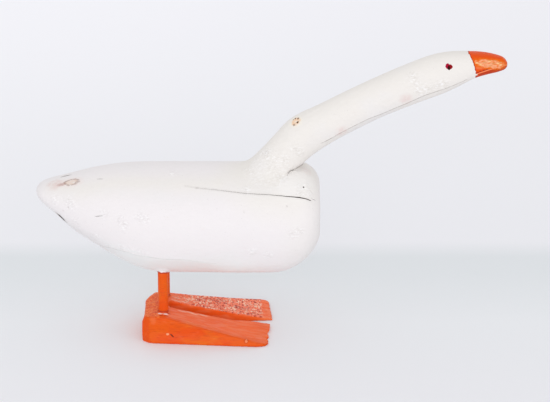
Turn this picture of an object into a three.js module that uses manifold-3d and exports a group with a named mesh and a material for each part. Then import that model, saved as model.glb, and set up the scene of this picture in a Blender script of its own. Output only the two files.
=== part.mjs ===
// A carved goose decoy: a log body, a bent-branch neck with its head, two dowel legs and a foot board.
// Millimetres, +X towards the beak, +Y to the goose's left, +Z up.
// The origin is on the ground, midway between the two legs.

import * as THREE from "three";
import { mergeVertices } from "three/addons/utils/BufferGeometryUtils.js";
import Module from "manifold-3d";

// Driving dimensions

const bodyLength = 367.5;
const bodyDepth = 143;
const bodyWidth = 143;
const tailOverhang = 164; // from the legs back to the tip of the tail
const tailNub = 11; // length over which the tip of the tail is rounded
const breastTopRound = 25; // rounding of the sawn breast end: above, below and at the sides
const breastUnderRound = 55;
const breastSideRound = 24;
const planedEdge = 120; // each flank of the underside is planed between these angles from the top
const planedFoot = 162;
const planedDepth = 0.7; // how much of the round is planed off there, and from where to where
const planedStart = 14;
const planedEnd = 254;
const planedFade = 45; // length over which the planing comes in at the front, and half of it at the tail

const legDiameter = 12.7;
const legSpacing = 56;
const legReach = 50; // bare leg between the board and the body's lowest line
const legInBody = 20; // depth of each leg inside the body and inside the board
const legInBoard = 18;

const heelThickness = 35.5;
const toeThickness = 2.2;
const heelLength = 27.5; // from the legs back to the heel
const footLength = 140.5; // from the legs forward to the toes of the left foot
const rightToeShort = 2.5; // how much shorter the right foot is
const levelLength = 3; // level top ahead of the legs, before the slope
const slopeHollow = 1.5; // how far the slope dips below a straight line
const rightMargin = 20; // board beside each leg
const leftMargin = 10;
const rightSplay = 15; // how much further out each foot reaches at the toes
const leftSplay = 52;
const heelCorner = 16; // length of the corner taken off the left side of the heel
const heelCornerWidth = 49;
const heelWear = 3.5; // worn upper edge of the heel
const heelWearHeight = 8.5;
const toeRound = 9;
const leftToeSlant = 4; // how far the left foot's toe edge falls back towards its outer side
const notchRoot = 5; // from the legs forward to the end of the notch
const notchRootWidth = 20.5;
const notchRootRound = 5; // length of the rounded end of the notch
const notchRootOffset = 1; // the notch runs this far to the left of the middle
const notchMouthWidth = 25;
const notchMouthOffset = 13;

const neckDiameter = 51;
const neckReach = 297; // from the neck's root on the body to the tip of the beak
const neckRise = 138;
const neckSetback = 58; // from the breast back to the neck's root
const neckLetIn = 15; // depth of the neck's foot below the top of the body
const beakRound = 9;

const seatClearance = 0.3;

// Carving, as shares of the sizes above. Each rib of the body is its place along the body, its top and
// underside as shares of the depth from the log's middle line, and its width as a share of the width.

const bodyRibs = [
  [0.0, 0.315, 0.205, 0.24],
  [0.055, 0.355, 0.097, 0.44],
  [0.126, 0.4, -0.086, 0.62],
  [0.2, 0.448, -0.218, 0.77],
  [0.27, 0.48, -0.336, 0.875],
  [0.345, 0.497, -0.436, 0.95],
  [0.42, 0.5, -0.49, 0.99],
  [0.56, 0.5, -0.5, 1.0],
  [0.78, 0.5, -0.5, 1.0],
  [1.0, 0.495, -0.5, 0.99],
];
const bodySquareness = 2.15;
const breastFullness = 1.65;

// Each rib of the neck is the place of its middle as shares of the reach and the rise, its depth and width
// as shares of the neck's diameter, and its squareness, from 2 for a round section up to a squarish one.

const neckRibs = [
  [-0.1, -0.245, 1.05, 1.1, 2],
  [0.0, 0.0, 1.05, 1.08, 2],
  [0.069, 0.171, 1.03, 1.05, 2],
  [0.127, 0.296, 1.09, 1.05, 2],
  [0.225, 0.415, 1.0, 1.0, 2],
  [0.304, 0.507, 0.99, 0.99, 2],
  [0.44, 0.656, 0.98, 0.98, 2],
  [0.584, 0.792, 1.01, 0.99, 2.05],
  [0.706, 0.893, 1.01, 0.97, 2.15],
  [0.783, 0.945, 0.86, 0.88, 2.3],
  [0.843, 0.978, 0.67, 0.72, 2.5],
  [0.907, 0.993, 0.53, 0.57, 2.9],
  [0.959, 0.99, 0.4, 0.44, 3],
  [1.0, 0.974, 0.3, 0.32, 2.8],
];

// Places that follow from them

const boardTop = heelThickness;
const bodyAxis = boardTop + legReach + bodyDepth / 2;
const bodyTop = bodyAxis + bodyDepth / 2;
const breastX = bodyLength - tailOverhang;
const neckRootX = breastX - neckSetback;
const neckSeat = bodyTop - neckLetIn;
const rightFoot = legSpacing / 2 + rightMargin;
const leftFoot = legSpacing / 2 + leftMargin;

// Fineness of the forms

const bodyRings = 40;
const bodySides = 40;
const neckRings = 44;
const neckSides = 32;
const dowelSides = 24;
const overcut = 5; // how far a cutting form runs past what it cuts

const wasm = await Module();
wasm.setup();

// Solids for joining and cutting

function toSolid(geometry) {
  const bare = geometry.clone();
  bare.deleteAttribute("normal");
  bare.deleteAttribute("uv");
  const merged = mergeVertices(bare, 1e-4);
  return new wasm.Manifold(
    new wasm.Mesh({
      numProp: 3,
      vertProperties: new Float32Array(merged.attributes.position.array),
      triVerts: new Uint32Array(merged.index.array),
    }),
  );
}

function toGeometry(solid) {
  const mesh = solid.getMesh();
  const geometry = new THREE.BufferGeometry();
  geometry.setAttribute("position", new THREE.BufferAttribute(mesh.vertProperties, 3));
  geometry.setIndex(new THREE.BufferAttribute(mesh.triVerts, 1));
  geometry.computeVertexNormals();
  return geometry;
}

// A closed form lofted from section to section. place gives the point at a share along the form, for a
// point of the unit circle whose first coordinate points up and whose second points to the left.

function loft(rings, sides, place) {
  const form = new THREE.CylinderGeometry(1, 1, 1, sides, rings);
  const positions = form.attributes.position;
  const point = new THREE.Vector3();
  for (let i = 0; i < positions.count; i += 1) {
    point.fromBufferAttribute(positions, i);
    const carved = place(point.y + 0.5, point.x, point.z);
    positions.setXYZ(i, carved.x, carved.y, carved.z);
  }
  return form;
}

// The unit circle pushed out towards a square: 2 leaves it round.

function squared(up, left, squareness) {
  const reach = (Math.abs(up) ** squareness + Math.abs(left) ** squareness) ** (1 / squareness);
  const radius = Math.hypot(up, left);
  return reach > 0 ? { up: (up * radius) / reach, left: (left * radius) / reach } : { up: 0, left: 0 };
}

// A share along a form, bunched at both ends where the form closes.

function bunched(share) {
  return 0.5 - 0.5 * Math.cos(Math.PI * share);
}

// How far a rounded edge has drawn in, at a distance from the end of the form. A fullness of 2 is a
// quarter-circle, and less is flatter, towards a chamfer.

function drawnIn(fromEnd, radius, fullness = 2) {
  const left = Math.min(1, Math.max(0, 1 - fromEnd / radius));
  return radius * (1 - (1 - left ** fullness) ** (1 / fullness));
}

function curveThrough(rows) {
  return new THREE.CatmullRomCurve3(rows, false, "catmullrom", 0.5);
}

// Body

const bodyPlaces = curveThrough(bodyRibs.map(([along, top, under]) => new THREE.Vector3(along, top, under)));
const bodyWidths = curveThrough(bodyRibs.map(([along, , , width]) => new THREE.Vector3(along, width, 0)));

function curveShareAt(along) {
  let low = 0;
  let high = 1;
  for (let step = 0; step < 30; step += 1) {
    const middle = (low + high) / 2;
    if (bodyPlaces.getPoint(middle).x < along) {
      low = middle;
    } else {
      high = middle;
    }
  }
  return (low + high) / 2;
}

function bodySection(fromTail) {
  const share = curveShareAt(fromTail / bodyLength);
  const place = bodyPlaces.getPoint(share);
  const fromBreast = bodyLength - fromTail;
  const closing = 1 - drawnIn(fromTail, tailNub) / tailNub;
  const top = bodyAxis + place.y * bodyDepth - drawnIn(fromBreast, breastTopRound, breastFullness);
  const under = bodyAxis + place.z * bodyDepth + drawnIn(fromBreast, breastUnderRound, breastFullness);
  const halfWidth = (bodyWidths.getPoint(share).y * bodyWidth) / 2 - drawnIn(fromBreast, breastSideRound);
  return {
    middle: (top + under) / 2,
    halfDepth: ((top - under) / 2) * closing,
    halfWidth: halfWidth * closing,
  };
}

// The share of the section's radius that planing leaves, at a distance from the tail and an angle from the
// top: a straight cut across the flank from edge to foot would have a depth of 1.

function planedTo(fromTail, angle) {
  const halfFlank = (planedFoot - planedEdge) / 2;
  const fromMiddle = Math.abs(angle - planedEdge - halfFlank);
  if (fromMiddle >= halfFlank) {
    return 1;
  }
  const cut = Math.cos(halfFlank * THREE.MathUtils.DEG2RAD) / Math.cos(fromMiddle * THREE.MathUtils.DEG2RAD);
  const atTail = THREE.MathUtils.smoothstep(fromTail, planedStart, planedStart + planedFade / 2);
  const atFront = 1 - THREE.MathUtils.smoothstep(fromTail, planedEnd - planedFade, planedEnd);
  return 1 - planedDepth * atTail * atFront * (1 - cut);
}

function bodyForm() {
  return loft(bodyRings, bodySides, (share, up, left) => {
    const fromTail = bunched(share) * bodyLength;
    const section = bodySection(fromTail);
    const rim = squared(up, left, bodySquareness);
    const angle = Math.atan2(Math.abs(left), up) * THREE.MathUtils.RAD2DEG;
    const planed = planedTo(fromTail, angle);
    return new THREE.Vector3(
      fromTail - tailOverhang,
      rim.left * planed * section.halfWidth,
      section.middle + rim.up * planed * section.halfDepth,
    );
  });
}

// Height of the body's underside above a point of the ground, as it was before its flanks were planed.

function undersideAt(x, y) {
  const section = bodySection(x + tailOverhang);
  const out = Math.min(1, Math.abs(y) / section.halfWidth);
  const down = (1 - out ** bodySquareness) ** (1 / bodySquareness);
  return section.middle - section.halfDepth * down;
}

// Neck, head and beak, carved from one bent branch. The fit is how much larger than the neck it is made.

const neckLine = curveThrough(
  neckRibs.map(
    ([along, rise]) => new THREE.Vector3(neckRootX + along * neckReach, 0, bodyTop + rise * neckRise),
  ),
);
const neckSizes = curveThrough(
  neckRibs.map(([, , depth, width, squareness]) => new THREE.Vector3(depth, width, squareness)),
);

function neckForm(fit) {
  return loft(neckRings, neckSides, (share, up, left) => {
    const eased = bunched(share);
    const middle = neckLine.getPoint(eased);
    const ahead = neckLine.getTangent(eased);
    const size = neckSizes.getPoint(eased);
    const fromTip = neckRootX + neckReach - middle.x;
    const closing = 1 - drawnIn(fromTip, beakRound) / beakRound;
    const rim = squared(up, left, size.z);
    const rise = rim.up * ((size.x * neckDiameter * closing) / 2 + fit);
    const side = rim.left * ((size.y * neckDiameter * closing) / 2 + fit);
    return new THREE.Vector3(middle.x - ahead.z * rise, side, middle.z + ahead.x * rise);
  });
}

// The neck's foot is cut level, and sits that deep in the top of the body.

function neckAbove(level, fit) {
  const reach = 4 * neckReach;
  const above = new THREE.BoxGeometry(reach, reach, reach);
  above.translate(neckRootX, 0, level + reach / 2);
  return toSolid(neckForm(fit)).intersect(toSolid(above));
}

// Legs

function dowel(radius, bottom, top) {
  const form = new THREE.CylinderGeometry(radius, radius, top - bottom, dowelSides);
  form.rotateX(Math.PI / 2);
  form.translate(0, 0, (bottom + top) / 2);
  return form;
}

const legRadius = legDiameter / 2;
const legBottom = boardTop - legInBoard;
const legTop = undersideAt(0, legSpacing / 2) + legInBody;
const legSides = { leg_right: -1, leg_left: 1 };

function legHole(side) {
  const hole = dowel(legRadius + seatClearance, legBottom - seatClearance, legTop + seatClearance);
  hole.translate(0, (side * legSpacing) / 2, 0);
  return toSolid(hole);
}

// Foot board: its side outline, cut to its plan

function boardSide() {
  const outline = new THREE.Shape();
  outline.moveTo(-heelLength, 0);
  outline.lineTo(footLength, 0);
  outline.lineTo(footLength, toeThickness);
  outline.quadraticCurveTo(
    (footLength + levelLength) / 2,
    (boardTop + toeThickness) / 2 - 2 * slopeHollow,
    levelLength,
    boardTop,
  );
  outline.lineTo(heelWear - heelLength, boardTop);
  outline.lineTo(-heelLength, boardTop - heelWearHeight);
  const rightReach = rightFoot + rightSplay + overcut;
  const leftReach = leftFoot + leftSplay + overcut;
  const form = new THREE.ExtrudeGeometry(outline, {
    depth: rightReach + leftReach,
    bevelEnabled: false,
    curveSegments: 6,
  });
  form.rotateX(Math.PI / 2);
  form.translate(0, leftReach, 0);
  return form;
}

function boardPlan() {
  const rightToe = footLength - rightToeShort;
  const rightEdge = -rightFoot - rightSplay;
  const leftToe = footLength - leftToeSlant;
  const leftEdge = leftFoot + leftSplay;
  const rootRight = notchRootOffset - notchRootWidth / 2;
  const rootLeft = notchRootOffset + notchRootWidth / 2;
  const mouthRight = notchMouthOffset - notchMouthWidth / 2;
  const mouthLeft = notchMouthOffset + notchMouthWidth / 2;
  const outline = new THREE.Shape();
  outline.moveTo(-heelLength, -rightFoot);
  outline.lineTo(rightToe - toeRound, rightEdge);
  outline.quadraticCurveTo(rightToe, rightEdge, rightToe, rightEdge + toeRound);
  outline.lineTo(rightToe, mouthRight);
  outline.lineTo(notchRoot + notchRootRound, rootRight);
  outline.quadraticCurveTo(notchRoot, rootRight, notchRoot, notchRootOffset);
  outline.quadraticCurveTo(notchRoot, rootLeft, notchRoot + notchRootRound, rootLeft);
  outline.lineTo(footLength, mouthLeft);
  outline.lineTo(leftToe, leftEdge - toeRound);
  outline.quadraticCurveTo(leftToe, leftEdge, leftToe - toeRound, leftEdge);
  outline.lineTo(0, leftFoot);
  outline.lineTo(heelCorner - heelLength, leftFoot);
  outline.quadraticCurveTo(
    heelCorner / 3 - heelLength,
    leftFoot - heelCornerWidth / 3,
    -heelLength,
    leftFoot - heelCornerWidth,
  );
  const form = new THREE.ExtrudeGeometry(outline, {
    depth: boardTop + 2 * overcut,
    bevelEnabled: false,
    curveSegments: 5,
  });
  form.translate(0, 0, -overcut);
  return form;
}

// Pieces

const whitePaint = new THREE.MeshStandardMaterial({ color: 0xf3efec, roughness: 0.62, metalness: 0 });
const orangePaint = new THREE.MeshStandardMaterial({ color: 0xe25a26, roughness: 0.5, metalness: 0 });

const goose = new THREE.Group();

function addPiece(name, geometry, paint) {
  const piece = new THREE.Mesh(geometry, paint.clone());
  piece.name = name;
  goose.add(piece);
  return piece;
}

let bodySolid = toSolid(bodyForm()).subtract(neckAbove(neckSeat - seatClearance, seatClearance));
let boardSolid = toSolid(boardSide()).intersect(toSolid(boardPlan()));
for (const [name, side] of Object.entries(legSides)) {
  bodySolid = bodySolid.subtract(legHole(side));
  boardSolid = boardSolid.subtract(legHole(side));
  const leg = addPiece(name, dowel(legRadius, legBottom, legTop), orangePaint);
  leg.position.y = (side * legSpacing) / 2;
}
addPiece("body", toGeometry(bodySolid), whitePaint);
addPiece("neck_and_head", toGeometry(neckAbove(neckSeat, 0)), whitePaint);
addPiece("feet", toGeometry(boardSolid), orangePaint);

export default goose;
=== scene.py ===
# A carved and painted goose decoy: its fine carving, its paint and its wear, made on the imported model.
# Metres, +X towards the beak, +Y to the goose's left, +Z up.

import math

import bmesh
import bpy
import numpy as np
from mathutils import Matrix, Vector, noise
from mathutils.bvhtree import BVHTree


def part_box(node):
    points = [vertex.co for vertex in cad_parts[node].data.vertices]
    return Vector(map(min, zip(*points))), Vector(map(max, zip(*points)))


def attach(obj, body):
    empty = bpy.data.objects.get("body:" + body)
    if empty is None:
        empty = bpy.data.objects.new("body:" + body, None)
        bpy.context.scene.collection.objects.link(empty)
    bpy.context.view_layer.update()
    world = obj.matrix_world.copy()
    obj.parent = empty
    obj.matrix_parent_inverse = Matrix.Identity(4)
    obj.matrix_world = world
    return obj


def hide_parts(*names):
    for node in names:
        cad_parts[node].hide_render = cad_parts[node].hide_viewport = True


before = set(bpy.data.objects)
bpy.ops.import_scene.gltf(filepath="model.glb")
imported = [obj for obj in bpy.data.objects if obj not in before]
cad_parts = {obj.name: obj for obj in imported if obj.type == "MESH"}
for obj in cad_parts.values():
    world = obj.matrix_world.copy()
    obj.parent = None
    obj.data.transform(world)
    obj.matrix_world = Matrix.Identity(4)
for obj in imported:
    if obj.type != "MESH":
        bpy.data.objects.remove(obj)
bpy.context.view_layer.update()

MM = 0.001

# Camera, at the photograph's angle

PHOTO_WIDTH = 550
PHOTO_HEIGHT = 402
FOCAL_PIXELS = 2700
SENSOR_MM = 36
LOOKING_DOWN = math.radians(20)
CAMERA_DISTANCE = 3.51
LOOKED_AT = Vector((0.146, 0, 0.1786))

AHEAD = Vector((0, math.cos(LOOKING_DOWN), -math.sin(LOOKING_DOWN)))
ABOVE = Vector((0, math.sin(LOOKING_DOWN), math.cos(LOOKING_DOWN)))
FORWARD = Vector((1, 0, 0))
UP = Vector((0, 0, 1))
EYE = LOOKED_AT - AHEAD * CAMERA_DISTANCE
FAR_FLOOR = Vector((-0.45, 1.5, 0))

# Places on the body, in pixels of the photograph

CRACK_START = [(185, 186), (197, 188)]
CRACK = [(196, 187.9), (214, 189.8), (245, 193.5), (269, 194.9), (290, 196.8), (301, 197.9), (310.6, 200.6)]
CRACK_HALF_WIDTHS = (0.04, 0.10, 0.13, 0.15, 0.17, 0.19, 0.22, 0.28, 0.46, 0.66, 0.5)
CRACK_BRANCH = [(311.3, 198.3), (313, 199.4), (315.7, 200.8)]
TAIL_NICK = [(94.5, 216.5), (103, 215.7)]
TAIL_DASH = [(97, 179.2), (103, 179)]
TAIL_CHIP = [(57.8, 214), (61.4, 217.3), (65.4, 221.2)]
CHIP_DARKS = [(60, 215.9), (61.7, 217.5), (63.4, 219.1)]
BACK_NICK = [(62, 177.1), (66, 176), (69.8, 175.3)]
PIT = (303.5, 187.2)
PIT_WIDTH = 0.9 * MM
FAINT_PITS = [(287, 206.5), (244, 212), (68, 207), (63.4, 210.7)]
SCUFFS = [
    (124, 226), (121, 219), (139, 217.5), (146, 219), (252, 252), (268, 255), (293, 234), (299, 231),
    (173, 173), (292, 173), (298, 171), (279, 179), (285, 178), (248, 171), (299, 187), (307, 185),
    (309, 193), (300, 194), (109, 246), (121, 248), (132, 251), (142, 254), (96, 236), (76, 222),
    (55, 200), (247, 190), (104, 214), (253, 174), (262, 168), (270, 175), (276, 170), (68, 201),
    (72, 206),
]
TAIL_KNOT = (71.5, 182.3)
TAIL_KNOT_ENDS = [(64.2, 183.9), (79, 182)]
TAIL_KNOT_SQUASH = 0.62
TAIL_STAIN = (55.5, 184)
TAIL_STAIN_CORE = (61.5, 184.8)
BREAST_STAIN = (306.5, 171)
BREAST_EDGE = [(312, 203), (312.5, 218), (311, 234)]
UNDER_EDGE = [
    (100, 245), (112, 248), (128, 252), (136, 255), (147, 256.5), (160, 258.5), (184, 259.6),
    (215, 263.5),
]
NECK_SEAM = [
    (303.4, 163.6), (301.2, 165.3), (297.5, 167.4), (294.2, 168.3), (291.5, 170.2), (288.2, 173.4),
    (287.2, 176),
]
FILLER_MIDDLE = (270, 172)
WARM_BAND = [(56, 186), (80, 190), (110, 184), (160, 184), (215, 184)]
SHOULDER_HIGHLIGHT_SPOT = (293, 179)

# Places on the neck and head

NECK_KNOT = (295.8, 121.3)
KNOT_BLOTCHES = [
    ((295.3, 118.5), 1.3, 0.95), ((293.3, 119.6), 1.0, 0.6), ((298.2, 118.5), 1.6, 0.75),
    ((297.6, 122.2), 1.6, 0.95), ((294, 124.8), 1.7, 0.5),
]
UPPER_EDGE = [(303, 116), (312, 112), (320, 108)]
THROAT_EDGE = [
    (322, 143), (330, 138.8), (349, 128.4), (368, 118.9), (383, 113.2), (406, 103.6), (425, 95.1),
    (442, 89.6),
]
JAW_EDGE = [(442, 89.6), (455.4, 84.4), (466, 79.6)]
NECK_STAINS = [(342, 131.5), (406, 99.5)]
SIGHT_SPOT = (449, 66.8)
SIGHT_LOBES = [((447.5, 66.2), 2.6, 3.2), ((450.2, 66.8), 3.1, 2.8), ((448.9, 68), 1.7, 2.7)]
BEAK_EDGE = [
    (467.9, 51.4), (469.9, 55.5), (471.2, 58.6), (472.5, 61), (473.6, 64), (474.5, 67), (475.1, 70.5),
    (475.8, 74.5),
]
BEAK_NICKS = [(474.4, 71.8), (476, 75)]
BEAK_RIDGE = [(475, 61), (481, 59.8), (488, 59), (496, 59.1), (501, 61.2), (503, 64.5)]
BEAK_WORN = (489.8, 64.1)
BEAK_WORN_ENDS = [(475, 62.4), (504, 65.8)]
BEAK_FLECKS = [(477, 63.1), (480.4, 64.7), (490, 61.5), (498, 63.5), (501, 64.8)]
BEAK_SHADES = [(489, 60.4), (494.8, 60.4), (499.6, 62.4), (493.5, 63.3), (490, 65.8), (484.5, 62.6)]
BEAK_LOW = (480.5, 67.6)
LIP_DOTS = [(477.6, 72.4), (480.4, 71.3), (483.8, 70.2), (487.2, 69.3)]
BEAK_UNDER_TIP = (501.5, 71)
BEAK_TIP = (506, 62.5)
MOUTH = [(475.4, 74.5), (480.8, 72.7), (488.6, 70), (497, 67.8), (503.5, 66)]
NECK_SCUFFS = [
    (412, 76), (415, 82), (420, 89), (421, 92.5), (428, 89), (438, 85), (445, 84), (262, 152), (268, 152),
    (266, 158), (275, 160), (295, 149), (301, 153), (285, 160),
]

# Places on the legs and feet

SIDE_SLIT = [(170, 333.6), (174, 336.8)]
SIDE_SLIT_CHIP = (167.7, 334)
SIDE_KNOT = (246.3, 341)
BOARD_CHIPS_AND_GLINTS = [(160.3, 313.5), (165.6, 313.9)]
BOARD_SHADOWS = [(161, 315.4), (166.3, 315.8), (156.6, 312.2), (168.6, 313.6)]
HEEL_LIGHT = (153, 320.5)
TOP_STREAKS = [
    (182, 311.2), (194, 313.9), (203.5, 315.4), (189, 312), (176, 300.6), (184, 301.8), (188, 299.2),
    (177, 297.8),
]
TOP_LIGHTS = [(217, 325.6), (259, 338.2), (173.5, 310.6)]
TOP_DARKS = [(200, 298.8), (208, 299), (214, 300), (223, 301), (238, 307.5), (245, 309)]


def sight(x, y):
    """The direction from the camera through a pixel of the photograph."""
    across = FORWARD * (x - PHOTO_WIDTH / 2)
    upwards = ABOVE * (PHOTO_HEIGHT / 2 - y)
    return (AHEAD * FOCAL_PIXELS + across + upwards).normalized()


def seen(form, pixel):
    """The point of a form that shows at a pixel of the photograph."""
    direction = sight(*pixel)
    point = form.ray_cast(EYE, direction)[0]
    return point if point else form.find_nearest(EYE + direction * CAMERA_DISTANCE)[0]


def seen_route(form, pixels, spacing):
    """Points spaced evenly along a line of the photograph, on the form."""
    corners = np.array([seen(form, pixel) for pixel in pixels])
    along = np.concatenate([[0], np.cumsum(np.linalg.norm(np.diff(corners, axis=0), axis=1))])
    steps = np.linspace(0, along[-1], max(3, int(along[-1] / spacing) + 1))
    points = np.stack([np.interp(steps, along, corners[:, k]) for k in range(3)], axis=1)
    return np.array([form.find_nearest(Vector(p))[0] for p in points])


# Numbers over many points at once


def eased(values, low, high):
    """0 below low and 1 above high, with a smooth rise between them. Low may be the larger one."""
    share = np.clip((values - low) / (high - low), 0, 1)
    return share * share * (3 - 2 * share)


def cloud(points, size, stretch=(1, 1, 1), seed=0.0):
    """Smooth noise from about -1 to 1. Its swells have a size in metres and are drawn out by stretch."""
    shape = points.shape[:-1]
    places = (points.reshape(-1, 3) / (size * np.array(stretch)) + seed).tolist()
    return np.array([noise.noise(place) for place in places]).reshape(shape)


def unit(vectors):
    return vectors / np.maximum(np.linalg.norm(vectors, axis=-1, keepdims=True), 1e-12)


def apart(points, place):
    return np.linalg.norm(points - np.array(place), axis=-1)


def from_route(points, route):
    """The distance from each point to the nearest point of a route."""
    nearest = np.full(points.shape[:-1], 1.0)
    for place in route:
        nearest = np.minimum(nearest, apart(points, place))
    return nearest


def to_spot(points, form, pixel):
    """The distance from each point to what shows at a pixel of the photograph."""
    return apart(points, seen(form, pixel))


def to_line(points, form, pixels, spacing=1 * MM):
    """The distance from each point to a line of the photograph, laid on a form."""
    return from_route(points, seen_route(form, pixels, spacing))


def hump(distance, width):
    """1 at no distance, falling away smoothly over about a width."""
    return np.exp(-(distance / width) ** 2)


def curve_through(corners, share):
    """A point on a smooth curve through the corners, at a share of the way along it."""
    spans = len(corners) - 1
    span = min(int(share * spans), spans - 1)
    u = share * spans - span
    rows = [corners[min(max(span + k, 0), spans)] for k in (-1, 0, 1, 2)]
    before, start, end, after = (np.array(row) for row in rows)
    return 0.5 * (
        2 * start
        + (end - before) * u
        + (2 * before - 5 * start + 4 * end - after) * u ** 2
        + (3 * start - before - 3 * end + after) * u ** 3
    )


def scuffed(points, form, pixels):
    """1 around the scuffed places of the photograph, 0 away from them."""
    return np.minimum(sum(hump(to_spot(points, form, pixel), 6 * MM) for pixel in pixels), 1)


def dents(points):
    """Small dents, below 0, and lumps, above 0."""
    return cloud(points, 2.6 * MM, (2, 1, 1), seed=6)


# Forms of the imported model, for rays to meet


def form_of(node, hollows=()):
    """A node's form. Its hollows inside the given boxes are closed level with the surface around them."""
    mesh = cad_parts[node].data
    work = bmesh.new()
    work.from_mesh(mesh)
    for low, high in hollows:
        lid = bmesh.new()
        for vertex in mesh.vertices:
            if all(low[k] <= vertex.co[k] <= high[k] for k in range(3)):
                lid.verts.new(vertex.co)
        found = bmesh.ops.convex_hull(lid, input=lid.verts)
        spare = [v for v in found["geom_interior"] if isinstance(v, bmesh.types.BMVert)]
        bmesh.ops.delete(lid, geom=spare, context="VERTS")
        closing = bpy.data.meshes.new("lid")
        lid.to_mesh(closing)
        work.from_mesh(closing)
        lid.free()
    tree = BVHTree.FromBMesh(work)
    work.free()
    return tree


# Skins: fine even meshes that follow a form

RAY_REACH = 90 * MM


def met(form, station, angle):
    """Where a ray towards a station first meets the form. The angle turns from up to the goose's right."""
    origin, forward, up, lean = station
    outward = up * math.cos(angle) + Vector((0, -1, 0)) * math.sin(angle)
    direction = outward * math.cos(lean) + forward * math.sin(lean)
    found = form.ray_cast(origin + direction * RAY_REACH, -direction)[0]
    return np.array(found if found else origin)


def skin(form, station_at, rows, sides, weight=None):
    """A grid of points on the form, its rows evenly spaced, or closer by the weight at their place."""
    shares = np.linspace(0, 1, 4 * rows)
    quarters = [k * math.pi / 2 for k in range(4)]
    traced = np.array([[met(form, station_at(s), a) for a in quarters] for s in shares])
    steps = np.linalg.norm(np.diff(traced, axis=0), axis=2).mean(axis=1)
    if weight:
        steps = steps * np.array([weight(p) for p in traced[1:].mean(axis=1)])
    along = np.concatenate([[0], np.cumsum(steps)])
    chosen = np.interp(np.linspace(0, along[-1], rows), along, shares)
    angles = [2 * math.pi * k / sides for k in range(sides)]
    return np.array([[met(form, station_at(s), a) for a in angles] for s in chosen])


def blurred(grid, along, around):
    """The grid with its facets smoothed away, by blurs of that many rows and columns."""
    for axis, width, mode in ((0, along, "edge"), (1, around, "wrap")):
        reach = int(3 * width)
        kernel = np.exp(-0.5 * (np.arange(-reach, reach + 1) / width) ** 2)
        pad = [(reach, reach) if k == axis else (0, 0) for k in range(3)]
        padded = np.pad(grid, pad, mode=mode)
        count = grid.shape[axis]
        taken = [np.take(padded, range(k, k + count), axis=axis) for k in range(2 * reach + 1)]
        grid = sum(k * t for k, t in zip(kernel / kernel.sum(), taken))
    return grid


def smoothed(grid, start, end, fade, light, heavy):
    """Blurs a grid lightly at its ends and more between two places along X."""
    x = grid[..., 0].mean(axis=1)
    share = eased(x, start, start + fade) * eased(x, end, end - fade)
    share = share[:, None, None]
    return blurred(grid, *light) * (1 - share) + blurred(grid, *heavy) * share


def outward_of(grid):
    """Which way the surface of a grid faces at each of its points."""
    along = np.gradient(grid, axis=0)
    around = np.roll(grid, -1, axis=1) - np.roll(grid, 1, axis=1)
    return unit(np.cross(around, along))


def angles_of(grid):
    """The angle from the top of each column, the same on both sides."""
    angles = 2 * math.pi * np.arange(grid.shape[1]) / grid.shape[1]
    return np.minimum(angles, 2 * math.pi - angles)[None, :]


def angle_along(grid, route):
    """The angle from the top at which a route runs along a skin, row by row, and its first and last row."""
    sides = grid.shape[1]
    found = []
    for place in route:
        row, column = divmod(int(apart(grid, place).argmin()), sides)
        found.append((row, 2 * math.pi * min(column, sides - column) / sides))
    found.sort()
    rows, angles = zip(*found)
    return np.interp(np.arange(len(grid)), rows, angles)[:, None], rows[0], rows[-1]


def planed_flank(grid, route, foot, depth, ridge, ridge_width, fade):
    """Relief of both flanks, planed from a route down to the foot's angle and fading out in fade rows."""
    edge, first, last = angle_along(grid, route)
    angle = angles_of(grid)
    radius = np.linalg.norm(grid - grid.mean(axis=1, keepdims=True), axis=2)
    across = np.clip((angle - edge) / (foot - edge), 0, 1)
    crest = ridge * np.exp(-np.abs(angle - edge) * radius / ridge_width)
    row = np.arange(len(grid))[:, None]
    shown = eased(row, first - fade, first + fade) * eased(row, last + fade, last - fade)
    return shown * (crest - depth * 4 * across * (1 - across))


def grid_faces(rows, sides):
    """The faces of a grid that closes round on itself, with a fan to a last and a next to last point."""
    index = np.arange(rows * sides).reshape(rows, sides)
    right = np.roll(index, -1, axis=1)
    quads = np.stack([index[:-1], right[:-1], right[1:], index[1:]], axis=-1).reshape(-1, 4)
    first = [[rows * sides, right[0, k], index[0, k]] for k in range(sides)]
    last = [[rows * sides + 1, index[-1, k], right[-1, k]] for k in range(sides)]
    return quads.tolist() + first + last


def closed_part(grid):
    """The points and faces of a closed form given as rings."""
    rows, sides = grid.shape[:2]
    ends = [grid[0].mean(axis=0), grid[-1].mean(axis=0)]
    return np.concatenate([grid.reshape(-1, 3), ends]), grid_faces(rows, sides)


def mesh_of(name, parts):
    """One mesh of closed parts, all facing outwards."""
    points = []
    faces = []
    for part_points, part_faces in parts:
        start = len(points)
        points += np.array(part_points).tolist()
        faces += [[start + k for k in face] for face in part_faces]
    mesh = bpy.data.meshes.new(name)
    mesh.from_pydata(points, [], faces)
    work = bmesh.new()
    work.from_mesh(mesh)
    bmesh.ops.recalc_face_normals(work, faces=work.faces)
    work.to_mesh(mesh)
    work.free()
    return mesh


def add_object(name, data):
    added = bpy.data.objects.new(name, data)
    bpy.context.scene.collection.objects.link(added)
    return added


def add_piece(name, grid, paint):
    """An object with one material, from the rings of its surface."""
    piece = add_object(name, mesh_of(name, [closed_part(grid)]))
    piece.data.materials.append(paint)
    return piece


def surface_of(piece):
    """The place and the normal of each point of a piece."""
    found = []
    for name in ("co", "normal"):
        values = np.zeros(len(piece.data.vertices) * 3)
        piece.data.vertices.foreach_get(name, values)
        found.append(values.reshape(-1, 3))
    return found


def move_points(piece, points):
    piece.data.vertices.foreach_set("co", points.ravel())
    piece.data.update()


def add_mask(piece, name, values):
    """Keeps a number from 0 to 1 for each point of a piece, for its material to read."""
    layer = piece.data.attributes.new(name, "FLOAT", "POINT")
    layer.data.foreach_set("value", np.clip(values, 0, 1).astype(np.float32))


LINE_SPAN = 20 * MM


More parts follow.
